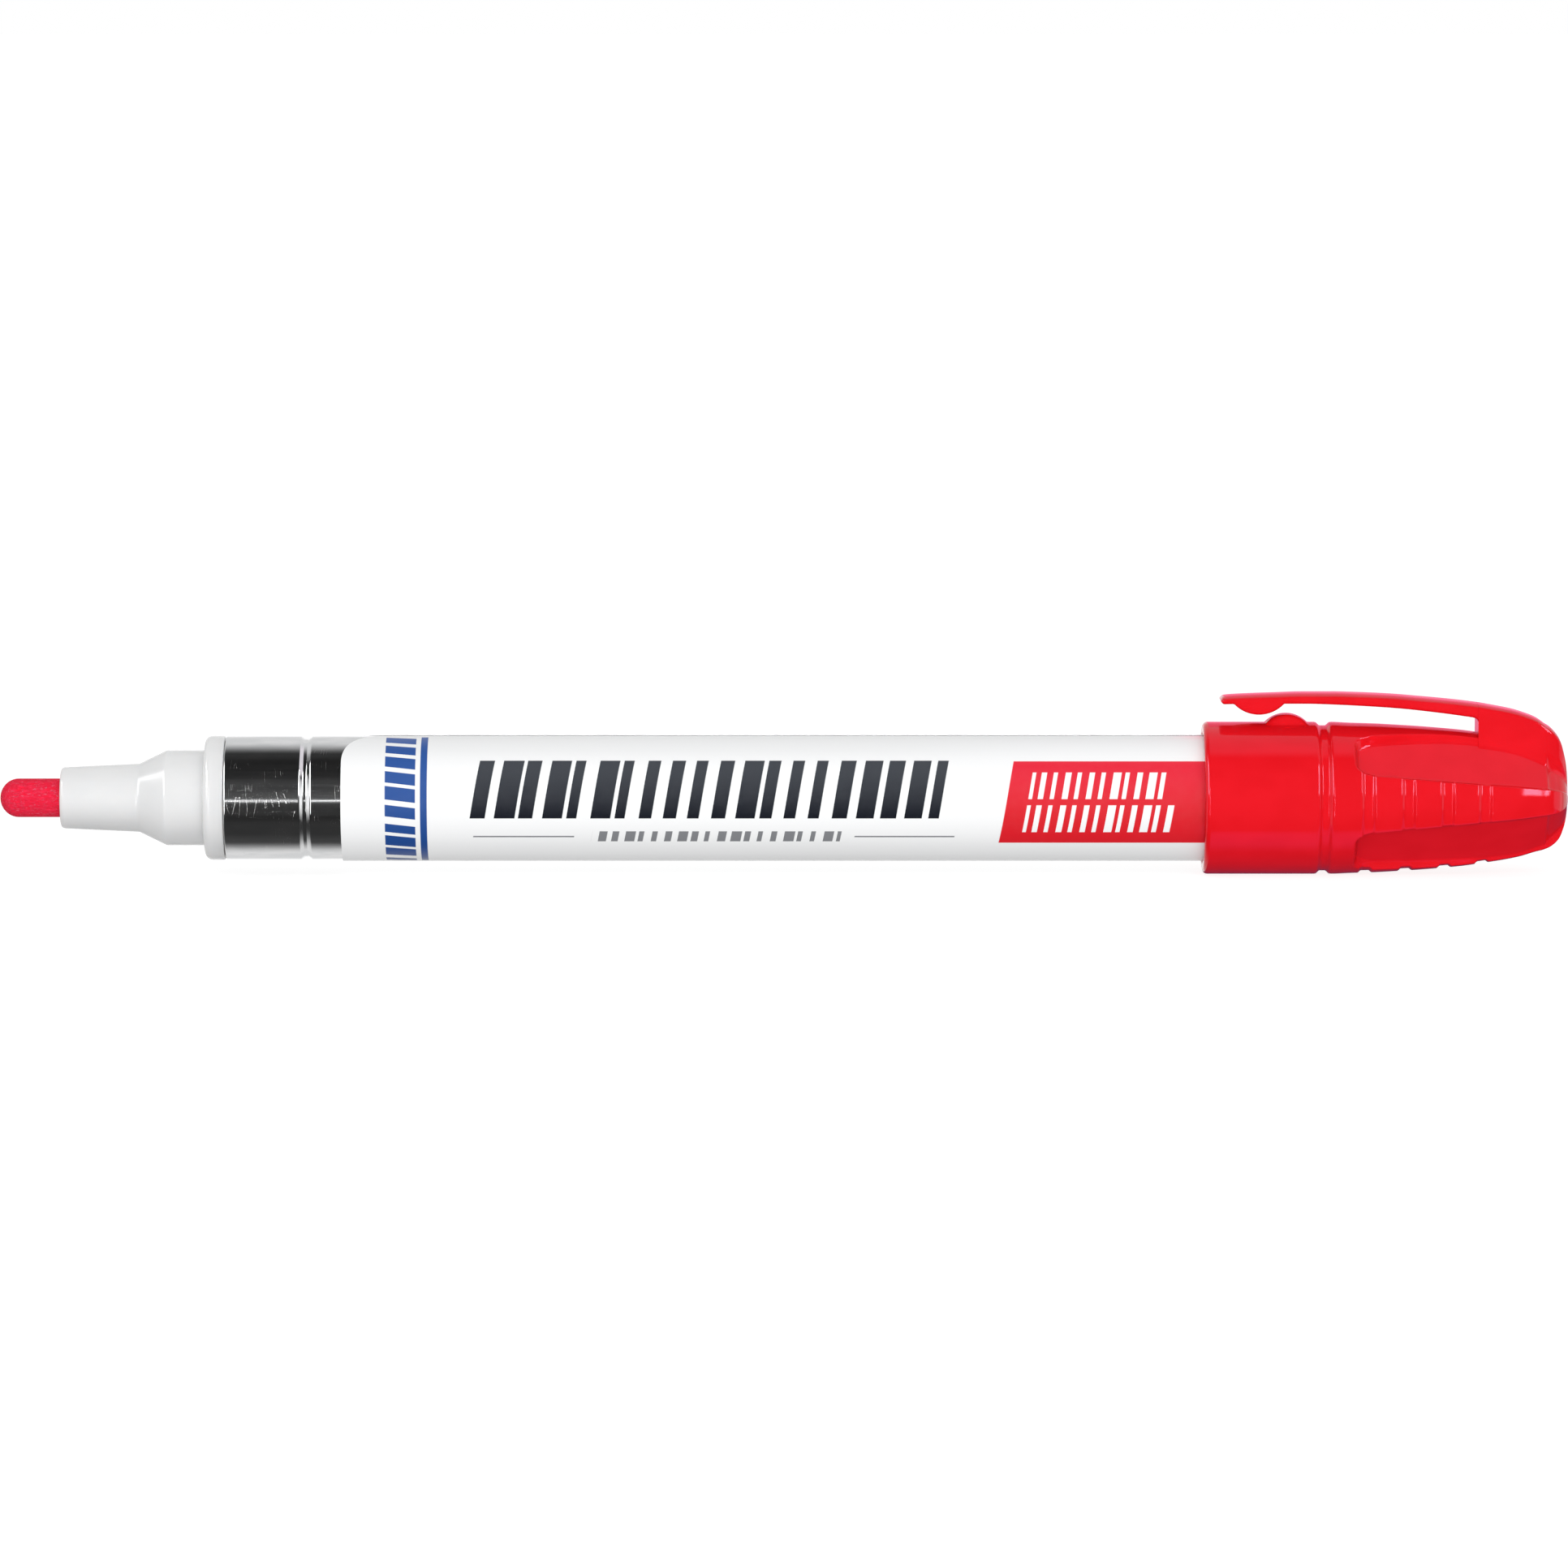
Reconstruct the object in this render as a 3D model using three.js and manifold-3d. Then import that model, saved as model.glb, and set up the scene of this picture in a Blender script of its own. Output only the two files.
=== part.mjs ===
// Valve-action paint marker with its cap posted on the tail. Millimetres, +Z up.
//
// Every piece is drawn about the marker's own axis: x runs from the nib's tip to the cap's closed end, and
// radii are measured from that axis, with the clip on the +Z side. The finished group is then set down so
// that the cap's lowest facet lies at z = 0 and the middle of the length at x = 0.
import * as THREE from 'three';
import { mergeVertices } from 'three/addons/utils/BufferGeometryUtils.js';
import Module from 'manifold-3d';

const wasm = await Module();
wasm.setup();

// ---- driving dimensions -------------------------------------------------------------------------------

const SIDES = 36; // facets round every turned piece, one of them centred at the bottom
const LENGTH = 160.8; // nib tip to the posted cap's closed end

const NIB_RADIUS = 1.98;
const NIB_LENGTH = 25;
const NIB_DOME = 1.7;

const NOZZLE_FRONT = 6.25;
const NOZZLE_TIP_RADIUS = 3.13;
const CONE_START = 14.3;
const CONE_START_RADIUS = 3.5;
const CONE_END = 17.25;
const NECK_RADIUS = 4.87;
const COLLAR_FRONT = 21.15;
const COLLAR_BACK = 23.15;
const SPIGOT_RADIUS = 5.75;
const SPIGOT_END = 34;
const SOCKET_RADIUS = 4.4;
const SOCKET_START = 27;
const CHAMBER_RADIUS = 3.25;
const CHAMBER_START = 15.9;

const BARREL_RADIUS = 6.35;
const BARREL_BORE = 5.9;
const BARREL_FRONT = 23.25;
const BARREL_END = 137.4;
const BARREL_WALL_END = 0.5;
const CRIMP_X = 31.5;
const CRIMP_DEPTH = 0.3;
const CRIMP_HALF_WIDTH = 0.6;

const LABEL_START = 35.2;
const LABEL_END = 135;
const LABEL_THICKNESS = 0.1;
const LABEL_SEAM = 1.2; // bare strip left along the clip side
const LABEL_CORNER = 5;

const CAP_RIM = 123.3;
const CAP_RADIUS = 7.81;
const CAP_BORE = 6.62;
const CAP_LEDGE = 137.55; // the tail stops here when posted, the nozzle's collar when closed
const CAP_GROOVE_X = 135.6;
const CAP_GROOVE_DEPTH = 0.35;
const RIB_GROOVES = [139.9, 144, 148, 151.9];
const RIB_GROOVE_HALF_WIDTH = 0.7;
const RIB_GROOVE_DEPTH = 0.28;
const SCOOP_START = 138.4;
const SCOOP_HALF_WIDTH = 2.9;
const SCOOP_DIRECTIONS = [45, 135, 225, 315];

const CLIP_WIDTH = 5;
const CLIP_TIP_WIDTH = 4.4;
const CLIP_TIP = 125.1;
const CLIP_TOP = 10.9;
const CLIP_ROOT = 151.2;
const CLIP_GAP = 0.3; // parting between the flexing arm and its root on the cap

const VALVE_SEAT = 28.6;
const VALVE_BORE = 3.3;
const VALVE_REAR = 47;
const SPRING_WIRE = 0.45;
const SPRING_MEAN_RADIUS = 1.9;
const SPRING_TURNS = 7;
const BALL_RADIUS = 3;
const BALL_X = 52;

// ---- helpers ------------------------------------------------------------------------------------------

// A turned piece: profile is a list of [x, radius], with the outer surface running towards +x.
function lathe(profile, sides = SIDES) {
  const points = profile.map(([x, radius]) => new THREE.Vector2(radius, x));
  const geometry = new THREE.LatheGeometry(points, sides, Math.PI / sides);
  return geometry.rotateZ(-Math.PI / 2);
}

// A closed ring or tube whose section is the rectangle x0..x1 by inner..outer.
function ring(x0, x1, inner, outer, sides = SIDES) {
  return lathe([[x0, inner], [x0, outer], [x1, outer], [x1, inner], [x0, inner]], sides);
}

function outlineShape(points) {
  return new THREE.Shape(points.map(([x, y]) => new THREE.Vector2(x, y)));
}

// A side outline, a list of [x, z], given a width across y and centred on the axis.
function sidePrism(points, width) {
  const geometry = new THREE.ExtrudeGeometry(outlineShape(points), { depth: width, bevelEnabled: false });
  return geometry.rotateX(Math.PI / 2).translate(0, width / 2, 0);
}

// A plan outline, a list of [x, y], standing between two heights.
function planPrism(points, low, high) {
  const geometry = new THREE.ExtrudeGeometry(outlineShape(points), { depth: high - low, bevelEnabled: false });
  return geometry.translate(0, 0, low);
}

function box(x0, x1, y0, y1, z0, z1) {
  return planPrism([[x0, y0], [x1, y0], [x1, y1], [x0, y1]], z0, z1);
}

function toSolid(geometry) {
  const bare = geometry.clone();
  bare.deleteAttribute('normal');
  bare.deleteAttribute('uv');
  const merged = mergeVertices(bare, 1e-4);
  const vertProperties = new Float32Array(merged.attributes.position.array);
  const triVerts = new Uint32Array(merged.index.array);
  return new wasm.Manifold(new wasm.Mesh({ numProp: 3, vertProperties, triVerts }));
}

function toGeometry(solid) {
  const mesh = solid.getMesh();
  const geometry = new THREE.BufferGeometry();
  geometry.setAttribute('position', new THREE.BufferAttribute(new Float32Array(mesh.vertProperties), 3));
  geometry.setIndex(new THREE.BufferAttribute(new Uint32Array(mesh.triVerts), 1));
  geometry.computeVertexNormals();
  return geometry;
}

// Points of a quarter ellipse, from (x0, r0) at angle 0 to (x1, r1) at 90 degrees, in equal steps of angle.
function quarterArc(x0, r0, x1, r1, steps) {
  return Array.from({ length: steps + 1 }, (_, i) => {
    const angle = (i / steps) * (Math.PI / 2);
    return [x0 + (x1 - x0) * (1 - Math.cos(angle)), r0 + (r1 - r0) * Math.sin(angle)];
  });
}

// ---- nib and nozzle -----------------------------------------------------------------------------------

function fibreNib() {
  const dome = quarterArc(0, 0, NIB_DOME, NIB_RADIUS, 6);
  return lathe([...dome, [NIB_LENGTH, NIB_RADIUS], [NIB_LENGTH, 0]]);
}

function nibFeeder() {
  return ring(16.2, 24, NIB_RADIUS + 0.1, CHAMBER_RADIUS - 0.1);
}

function nozzle() {
  const bore = NIB_RADIUS + 0.07;
  const grooveRadius = 5;
  const crimpSeat = 5.3;
  return lathe([
    [NOZZLE_FRONT, bore],
    [NOZZLE_FRONT, NOZZLE_TIP_RADIUS - 0.3],
    [NOZZLE_FRONT + 0.3, NOZZLE_TIP_RADIUS],
    [CONE_START, CONE_START_RADIUS],
    [CONE_END, NECK_RADIUS],
    [20.9, NECK_RADIUS],
    [COLLAR_FRONT, 5.1],
    [COLLAR_FRONT, BARREL_RADIUS - 0.35],
    [COLLAR_FRONT + 0.35, BARREL_RADIUS],
    [COLLAR_BACK, BARREL_RADIUS],
    [COLLAR_BACK, SPIGOT_RADIUS],
    [25.6, SPIGOT_RADIUS],
    [25.6, grooveRadius],
    [27, grooveRadius],
    [27, SPIGOT_RADIUS],
    [30.4, SPIGOT_RADIUS],
    [30.9, crimpSeat],
    [32.1, crimpSeat],
    [32.6, SPIGOT_RADIUS],
    [SPIGOT_END, SPIGOT_RADIUS],
    [SPIGOT_END, SOCKET_RADIUS],
    [SOCKET_START, SOCKET_RADIUS],
    [SOCKET_START, CHAMBER_RADIUS],
    [CHAMBER_START, CHAMBER_RADIUS],
    [14.8, bore],
    [NOZZLE_FRONT, bore],
  ]);
}

function nozzleORing() {
  const centreX = 26.3;
  const centreRadius = 5.45;
  const thickness = 0.41;
  const section = Array.from({ length: 9 }, (_, i) => {
    const angle = (-i / 8) * 2 * Math.PI;
    return [centreX + thickness * Math.cos(angle), centreRadius - thickness * Math.sin(angle)];
  });
  return lathe(section.reverse());
}

// ---- barrel and label ---------------------------------------------------------------------------------

function barrelTube() {
  const crimpFrom = CRIMP_X - CRIMP_HALF_WIDTH;
  const crimpTo = CRIMP_X + CRIMP_HALF_WIDTH;
  const innerEnd = BARREL_END - BARREL_WALL_END;
  return lathe([
    [BARREL_FRONT, BARREL_BORE],
    [BARREL_FRONT, BARREL_RADIUS],
    [crimpFrom, BARREL_RADIUS],
    [CRIMP_X, BARREL_RADIUS - CRIMP_DEPTH],
    [crimpTo, BARREL_RADIUS],
    [BARREL_END - 0.6, BARREL_RADIUS],
    [BARREL_END, BARREL_RADIUS - 0.6],
    [BARREL_END, 0],
    [innerEnd, 0],
    [innerEnd, BARREL_BORE - 0.5],
    [innerEnd - 0.5, BARREL_BORE],
    [crimpTo, BARREL_BORE],
    [CRIMP_X, BARREL_BORE - CRIMP_DEPTH],
    [crimpFrom, BARREL_BORE],
    [BARREL_FRONT, BARREL_BORE],
  ]);
}

// What a rounded corner removes from a square one at (x, y): sx and sy point into the sheet.
function cornerCutter(x, y, sx, sy, radius) {
  const arc = Array.from({ length: 7 }, (_, i) => {
    const angle = (i / 6) * (Math.PI / 2);
    return [x + sx * radius * (1 - Math.cos(angle)), y + sy * radius * (1 - Math.sin(angle))];
  });
  const points = [[x - sx, y - sy], [x - sx, y + sy * radius], ...arc, [x + sx * radius, y - sy]];
  return planPrism(points, 0, BARREL_RADIUS + 1);
}

function wrapLabel() {
  const inner = BARREL_RADIUS + 0.03;
  let sheet = toSolid(ring(LABEL_START, LABEL_END, inner, inner + LABEL_THICKNESS));
  const edge = LABEL_SEAM / 2;
  sheet = sheet.subtract(toSolid(box(LABEL_START - 1, LABEL_END + 1, -edge, edge, 0, BARREL_RADIUS + 1)));
  for (const side of [-1, 1]) {
    sheet = sheet.subtract(toSolid(cornerCutter(LABEL_START, side * edge, 1, side, LABEL_CORNER)));
    sheet = sheet.subtract(toSolid(cornerCutter(LABEL_END, side * edge, -1, side, LABEL_CORNER)));
  }
  return toGeometry(sheet);
}

// ---- valve --------------------------------------------------------------------------------------------

function valveHousing() {
  const plug = SOCKET_RADIUS - 0.1;
  const flange = SPIGOT_RADIUS - 0.05;
  const body = toSolid(lathe([
    [SOCKET_START + 0.2, 1.5],
    [SOCKET_START + 0.2, plug],
    [SPIGOT_END + 0.2, plug],
    [SPIGOT_END + 0.2, flange],
    [SPIGOT_END + 1.4, flange],
    [SPIGOT_END + 1.4, SOCKET_RADIUS],
    [VALVE_REAR, SOCKET_RADIUS],
    [VALVE_REAR, VALVE_BORE],
    [VALVE_SEAT, VALVE_BORE],
    [VALVE_SEAT, 1.5],
    [SOCKET_START + 0.2, 1.5],
  ]));
  const windowHalf = 1.2;
  const across = toSolid(box(37, 41, -6, 6, -windowHalf, windowHalf));
  const upright = toSolid(box(37, 41, -windowHalf, windowHalf, -6, 6));
  return toGeometry(body.subtract(across).subtract(upright));
}

function seatWasher() {
  return ring(VALVE_SEAT + 0.05, VALVE_SEAT + 0.55, 1.55, VALVE_BORE - 0.1);
}

function valveStem() {
  const head = VALVE_SEAT + 0.6;
  const headRadius = 2.6;
  const guideRadius = 1.2;
  return lathe([
    [NIB_LENGTH + 0.05, 0],
    [NIB_LENGTH + 0.05, 1],
    [head, 1],
    [head, headRadius],
    [head + 1.4, headRadius],
    [head + 1.4, guideRadius],
    [36, guideRadius],
    [36, 0],
  ], 24);
}

class Helix extends THREE.Curve {
  constructor(start, end, radius, turns) {
    super();
    Object.assign(this, { start, end, radius, turns });
  }

  getPoint(t, target = new THREE.Vector3()) {
    const angle = t * this.turns * 2 * Math.PI;
    const x = this.start + t * (this.end - this.start);
    return target.set(x, this.radius * Math.cos(angle), this.radius * Math.sin(angle));
  }
}

function valveSpring() {
  const clearance = 0.08 + SPRING_WIRE / 2;
  const path = new Helix(VALVE_SEAT + 2 + clearance, 42.65 - clearance, SPRING_MEAN_RADIUS, SPRING_TURNS);
  const section = new THREE.Shape().absarc(0, 0, SPRING_WIRE / 2, 0, 2 * Math.PI);
  const steps = SPRING_TURNS * 12;
  return new THREE.ExtrudeGeometry(section, { steps, curveSegments: 3, extrudePath: path });
}

function springRetainer() {
  let disc = toSolid(ring(42.65, 44.2, 0.8, VALVE_BORE - 0.1, 24));
  for (const degrees of [0, 120, 240]) {
    const hole = lathe([[42, 0], [42, 0.6], [45, 0.6], [45, 0]], 10);
    hole.translate(0, 0, 2.05).rotateX(THREE.MathUtils.degToRad(degrees));
    disc = disc.subtract(toSolid(hole));
  }
  return toGeometry(disc);
}

function mixingBall() {
  const lowest = BARREL_BORE * Math.cos(Math.PI / SIDES) - 0.05;
  return new THREE.SphereGeometry(BALL_RADIUS, 18, 12).translate(BALL_X, 0, BALL_RADIUS - lowest);
}

// ---- cap ----------------------------------------------------------------------------------------------

function capOutside() {
  const grooveFloor = CAP_RADIUS - CAP_GROOVE_DEPTH;
  return lathe([
    [CAP_RIM, 0],
    [CAP_RIM, CAP_RADIUS - 0.25],
    [CAP_RIM + 0.25, CAP_RADIUS],
    [CAP_GROOVE_X - 0.6, CAP_RADIUS],
    [CAP_GROOVE_X - 0.3, grooveFloor],
    [CAP_GROOVE_X + 0.3, grooveFloor],
    [CAP_GROOVE_X + 0.6, CAP_RADIUS],
    [141, 7.64],
    [145.5, 7.4],
    [150, 6.98],
    [152.5, 6.62],
    [155, 6.2],
    [156.6, 5.8],
    [158.3, 5.33],
    [159.3, 4.85],
    [160.1, 3.7],
    [LENGTH, 1.6],
    [LENGTH, 0],
  ]);
}

// Hollow for the barrel's tail, then for the liner.
function capInside() {
  return lathe([
    [CAP_RIM - 1, 0],
    [CAP_RIM - 1, CAP_BORE],
    [CAP_LEDGE, CAP_BORE],
    [CAP_LEDGE, 5.75],
    [143, 5.6],
    [152.7, 4.7],
    [156, 4.1],
    [159.2, 2.9],
    [159.6, 2.4],
    [159.6, 0],
  ]);
}

// A finger scoop between two lobes: distance is measured from the axis along the scoop's direction.
function scoopCutter(degrees) {
  const floor = [[SCOOP_START, 8.3], [SCOOP_START + 0.8, 6.62], [152.7, 5.55], [155.2, 5.2], [158.4, 4.25], [162, 1.9]];
  const cutter = sidePrism([...floor, [162, 8.3]], 2 * SCOOP_HALF_WIDTH);
  return toSolid(cutter.rotateX(THREE.MathUtils.degToRad(degrees)));
}

// Shallow grooves across the front, back and bottom lobes; the top lobe under the clip stays smooth.
function ribGrooveCutter(x, surface) {
  const floor = surface - RIB_GROOVE_DEPTH;
  const cutter = lathe([
    [x, floor],
    [x - RIB_GROOVE_HALF_WIDTH, surface + 0.1],
    [x - RIB_GROOVE_HALF_WIDTH, 9],
    [x + RIB_GROOVE_HALF_WIDTH, 9],
    [x + RIB_GROOVE_HALF_WIDTH, surface + 0.1],
    [x, floor],
  ]);
  return toSolid(cutter).subtract(toSolid(box(x - 2, x + 2, -4.5, 4.5, 0, 10)));
}

// The solid root that carries the clip, from the slot's end to the cap's closed end.
function clipRoot() {
  return sidePrism([
    [CLIP_ROOT + CLIP_GAP, 5],
    [159.9, 5],
    [159.7, 5.8],
    [159.1, 6.8],
    [158.4, 7.7],
    [157.8, 8.2],
    [157.2, 8.6],
    [156.3, 8.95],
    [155, 9.3],
    [153, 9.62],
    [CLIP_ROOT + CLIP_GAP, 9.8],
  ], CLIP_WIDTH);
}

// The raised stop on the skirt, just behind the clip's own bump.
function skirtBump() {
  const outline = [[129.6, 7.3], [134, 7.3], [134, 7.75], [133, 8.42], [131.8, 8.7], [130.6, 8.42], [129.6, 7.75]];
  return sidePrism(outline, 3);
}

function capShell() {
  let shell = toSolid(capOutside());
  for (const degrees of SCOOP_DIRECTIONS) {
    shell = shell.subtract(scoopCutter(degrees));
  }
  const surfaces = [7.68, 7.49, 7.17, 6.72];
  RIB_GROOVES.forEach((x, i) => {
    shell = shell.subtract(ribGrooveCutter(x, surfaces[i]));
  });
  shell = shell.add(toSolid(clipRoot())).add(toSolid(skirtBump()));
  return toGeometry(shell.subtract(toSolid(capInside())));
}

function capLiner() {
  return lathe([
    [137.7, 4.97],
    [137.7, 5.6],
    [143, 5.45],
    [152.7, 4.55],
    [156, 3.95],
    [159.1, 2.8],
    [159.45, 2.3],
    [159.45, 0],
    [158.9, 0],
    [158.9, 1.8],
    [158.3, 2.4],
    [153.6, 2.4],
    [152.9, 3.6],
    [145, 3.75],
    [141.7, 4.97],
    [137.7, 4.97],
  ]);
}

function capClip() {
  const side = sidePrism([
    [CLIP_TIP, 9.95],
    [CLIP_TIP + 0.35, 9.65],
    [126.3, 9.5],
    [127.5, 8.8],
    [129, 8.55],
    [130.4, 8.85],
    [131.6, 9.8],
    [134.5, 9.84],
    [140, 9.67],
    [145, 9.25],
    [148.5, 8.8],
    [CLIP_ROOT, 8.4],
    [CLIP_ROOT, 9.82],
    [148, 10.2],
    [145, 10.47],
    [142, 10.7],
    [137, CLIP_TOP],
    [132, CLIP_TOP],
    [CLIP_TIP + 0.7, 10.7],
    [CLIP_TIP, 10.4],
  ], 2 * CLIP_WIDTH);
  const root = CLIP_WIDTH / 2;
  const tip = CLIP_TIP_WIDTH / 2;
  const plan = planPrism([
    [CLIP_TIP - 1, -tip + 0.6],
    [CLIP_TIP + 0.6, -tip],
    [CLIP_ROOT + 1, -root],
    [CLIP_ROOT + 1, root],
    [CLIP_TIP + 0.6, tip],
    [CLIP_TIP - 1, tip - 0.6],
  ], 7, 12);
  return toGeometry(toSolid(side).intersect(toSolid(plan)));
}

// ---- assembly -----------------------------------------------------------------------------------------

function finish(color, roughness, metalness = 0) {
  return new THREE.MeshStandardMaterial({ color, roughness, metalness });
}

const polishedAluminium = finish(0xc9ccd0, 0.18, 1);
const printedLabel = finish(0xf2f2f4, 0.35);
const milkyPlastic = finish(0xe6e8ea, 0.35);
const whitePlastic = finish(0xdfe2e2, 0.5);
const redPlastic = finish(0xc8141c, 0.2);
const redFibre = finish(0xb5202a, 0.9);
const paleFelt = finish(0xd8d2c8, 0.95);
const blackRubber = finish(0x1c1c1e, 0.8);
const springSteel = finish(0x9a9ca0, 0.3, 1);

const pieces = [
  ['barrel_tube', barrelTube(), polishedAluminium],
  ['wrap_label', wrapLabel(), printedLabel],
  ['nozzle', nozzle(), milkyPlastic],
  ['nozzle_o_ring', nozzleORing(), blackRubber],
  ['nib_feeder', nibFeeder(), paleFelt],
  ['fibre_nib', fibreNib(), redFibre],
  ['valve_housing', valveHousing(), whitePlastic],
  ['seat_washer', seatWasher(), blackRubber],
  ['valve_stem', valveStem(), whitePlastic],
  ['valve_spring', valveSpring(), springSteel],
  ['spring_retainer', springRetainer(), whitePlastic],
  ['mixing_ball', mixingBall(), springSteel],
  ['cap_shell', capShell(), redPlastic],
  ['cap_liner', capLiner(), whitePlastic],
  ['cap_clip', capClip(), redPlastic],
];

const marker = new THREE.Group();
for (const [name, geometry, material] of pieces) {
  const mesh = new THREE.Mesh(geometry, material);
  mesh.name = name;
  marker.add(mesh);
}
marker.position.set(-LENGTH / 2, 0, CAP_RADIUS * Math.cos(Math.PI / SIDES));

export default marker;
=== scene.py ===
"""A valve-action paint marker with its cap posted on the tail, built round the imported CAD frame.

Shapes are drawn in the marker's own millimetres: x from the nib's tip to the cap's closed end, radii
from the axis, the clip on the +Z side. place() carries them into the row frame, where the CAD nodes are.
"""

import math

import bmesh
import bpy
import numpy as np
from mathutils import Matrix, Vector


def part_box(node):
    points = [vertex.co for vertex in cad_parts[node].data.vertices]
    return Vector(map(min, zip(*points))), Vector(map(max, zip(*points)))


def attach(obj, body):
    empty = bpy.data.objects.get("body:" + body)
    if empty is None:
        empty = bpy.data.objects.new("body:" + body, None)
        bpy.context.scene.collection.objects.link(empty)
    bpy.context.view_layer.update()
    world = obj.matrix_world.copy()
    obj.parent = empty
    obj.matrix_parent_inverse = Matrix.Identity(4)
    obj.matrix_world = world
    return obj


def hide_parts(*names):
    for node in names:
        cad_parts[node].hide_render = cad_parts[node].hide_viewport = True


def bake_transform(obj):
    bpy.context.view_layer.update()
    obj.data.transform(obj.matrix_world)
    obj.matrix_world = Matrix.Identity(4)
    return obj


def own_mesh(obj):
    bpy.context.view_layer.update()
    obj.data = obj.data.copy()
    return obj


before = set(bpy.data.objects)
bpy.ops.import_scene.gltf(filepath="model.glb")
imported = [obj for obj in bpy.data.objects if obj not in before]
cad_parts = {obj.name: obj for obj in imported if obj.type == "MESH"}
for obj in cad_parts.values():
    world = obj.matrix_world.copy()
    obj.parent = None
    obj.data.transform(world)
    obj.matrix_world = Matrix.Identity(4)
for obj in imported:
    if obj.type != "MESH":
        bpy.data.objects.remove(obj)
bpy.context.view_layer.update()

# ---- frame and driving sizes, millimetres ---------------------------------------------------------------

MM = 0.001
TUBE_LOW, TUBE_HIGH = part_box("barrel_tube")
TIP = Vector((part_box("fibre_nib")[0].x, 0.0, (TUBE_LOW.z + TUBE_HIGH.z) / 2))


def station(x_metres):
    """Millimetres from the nib's tip to a plane of the row frame."""
    return (x_metres - TIP.x) / MM


def place(points):
    """Points drawn in the marker's millimetres, carried into the row frame."""
    return np.asarray(points, float) * MM + np.array(TIP)


NIB_R = 1.98
NIB_DOME = 1.9
NIB_REAR = 25.0

NOZZLE_FRONT = station(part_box("nozzle")[0].x)
NECK_R = 4.87
COLLAR_FRONT = 21.15
COLLAR_BACK = 23.15
SPIGOT_R = 5.75
SPIGOT_END = 34.0
SOCKET_START = 27.0
SOCKET_R = 4.4
FEEDER_BORE = 3.25

BARREL_FRONT = station(TUBE_LOW.x)
BARREL_END = station(TUBE_HIGH.x)
BARREL_R = 6.35
BARREL_BORE = 5.9
BARREL_BASE = 0.5  # thickness of the tube's closed end
CRIMP_X = 31.5
CRIMP_DEPTH = 0.28
LABEL_START = station(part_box("wrap_label")[0].x)
LABEL_END = station(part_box("wrap_label")[1].x)
LABEL_R = 6.47
LABEL_THICKNESS = 0.08
LABEL_SEAM = 1.2
LABEL_CORNER = 5.0
LABEL_SLANT = 0.17  # how far its print leans along the axis for each millimetre round the barrel

CAP_RIM = station(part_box("cap_shell")[0].x)
CAP_R = 7.81
CAP_BORE = 6.62
CAP_LEDGE = 137.55
DOME_START = 158.4
CLIP_TIP = station(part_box("cap_clip")[0].x)
CLIP_ROOT = 151.4

# ---- small mathematics ----------------------------------------------------------------------------------


def smooth(low, high, value):
    """0 up to low and 1 from high on, with a smooth step between."""
    t = np.clip((value - low) / (high - low), 0.0, 1.0)
    return t * t * (3 - 2 * t)


def mix(a, b, t):
    """a where t is 0, b where t is 1."""
    return a + (b - a) * t


def spline(*points):
    """A smooth curve through given (x, value) points that never overshoots them."""
    xs, ys = np.array(points, float).T
    slopes = np.diff(ys) / np.diff(xs)
    tangents = np.zeros_like(ys)
    before, after = slopes[:-1], slopes[1:]
    same = before * after > 0
    tangents[1:-1][same] = 2 * before[same] * after[same] / (before[same] + after[same])
    tangents[0], tangents[-1] = slopes[0], slopes[-1]

    def value(x):
        x = np.clip(np.asarray(x, float), xs[0], xs[-1])
        i = np.clip(np.searchsorted(xs, x, side="right") - 1, 0, len(xs) - 2)
        h = xs[i + 1] - xs[i]
        t = (x - xs[i]) / h
        return (
            ys[i] * (1 + 2 * t) * (1 - t) ** 2
            + tangents[i] * h * t * (1 - t) ** 2
            + ys[i + 1] * t * t * (3 - 2 * t)
            + tangents[i + 1] * h * t * t * (t - 1)
        )

    return value


def rounded(corners, steps=6):
    """A profile of (x, r) or (x, r, fillet radius) corners, with each fillet drawn in."""
    points = [np.array(c[:2], float) for c in corners]
    path = []
    for i, corner in enumerate(corners):
        if len(corner) == 2:
            path.append(points[i])
            continue
        back, on = points[i - 1] - points[i], points[(i + 1) % len(points)] - points[i]
        length_back, length_on = np.linalg.norm(back), np.linalg.norm(on)
        back, on = back / length_back, on / length_on
        half_angle = math.acos(np.clip(back @ on, -1, 1)) / 2
        reach = min(corner[2] / math.tan(half_angle), 0.49 * length_back, 0.49 * length_on)
        start, end = points[i] + back * reach, points[i] + on * reach
        for t in np.linspace(0, 1, steps + 1):
            path.append(start * (1 - t) ** 2 + points[i] * 2 * t * (1 - t) + end * t * t)
    return supported(path)


def supported(path, margin=0.07):
    """Adds a point just inside each end of every long stretch, so smooth shading keeps the stretch flat."""
    out = [path[0]]
    for a, b in zip(path, path[1:]):
        length = np.linalg.norm(b - a)
        if length > 4 * margin:
            out += [a + (b - a) * margin / length, b - (b - a) * margin / length]
        out.append(b)
    return np.array(out)


# ---- meshes and pieces ----------------------------------------------------------------------------------


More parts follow.
